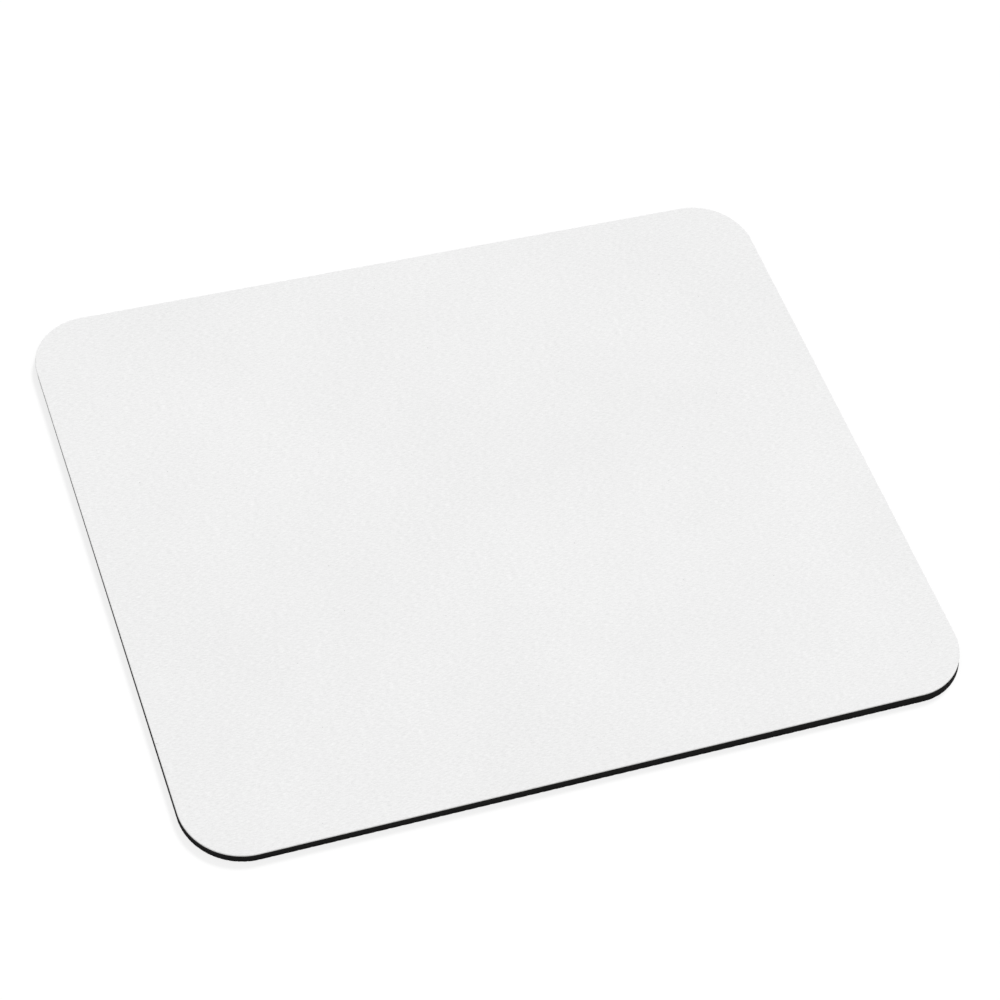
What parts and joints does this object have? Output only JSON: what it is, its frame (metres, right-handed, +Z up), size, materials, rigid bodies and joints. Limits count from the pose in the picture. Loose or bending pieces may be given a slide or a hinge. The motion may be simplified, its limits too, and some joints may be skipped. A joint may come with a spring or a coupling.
{
  "type": "mouse pad",
  "caption": "Flat round-cornered rectangular mouse pad: a smooth white cloth top bonded to a black non-slip rubber sponge base, for a computer mouse to glide on.",
  "frame": {"origin": "centre of the underside, on the desk", "axes": "+X along the width to the right, +Y along the depth to the back, +Z up out of the cloth top"},
  "size_m": [0.2168, 0.1808, 0.003],
  "materials": {
    "rubber_sponge": "matt black rubber sponge, open cells on the cut edge, fine non-slip relief on the underside",
    "hot_melt_film": "thin pale hot-melt adhesive film",
    "polyester_knit": "matt white fine polyester knit"
  },
  "bodies": {
    "root": {"rubber_base": "rubber_sponge", "bonding_film": "hot_melt_film", "surface_fabric": "polyester_knit"}
  },
  "joints": []
}
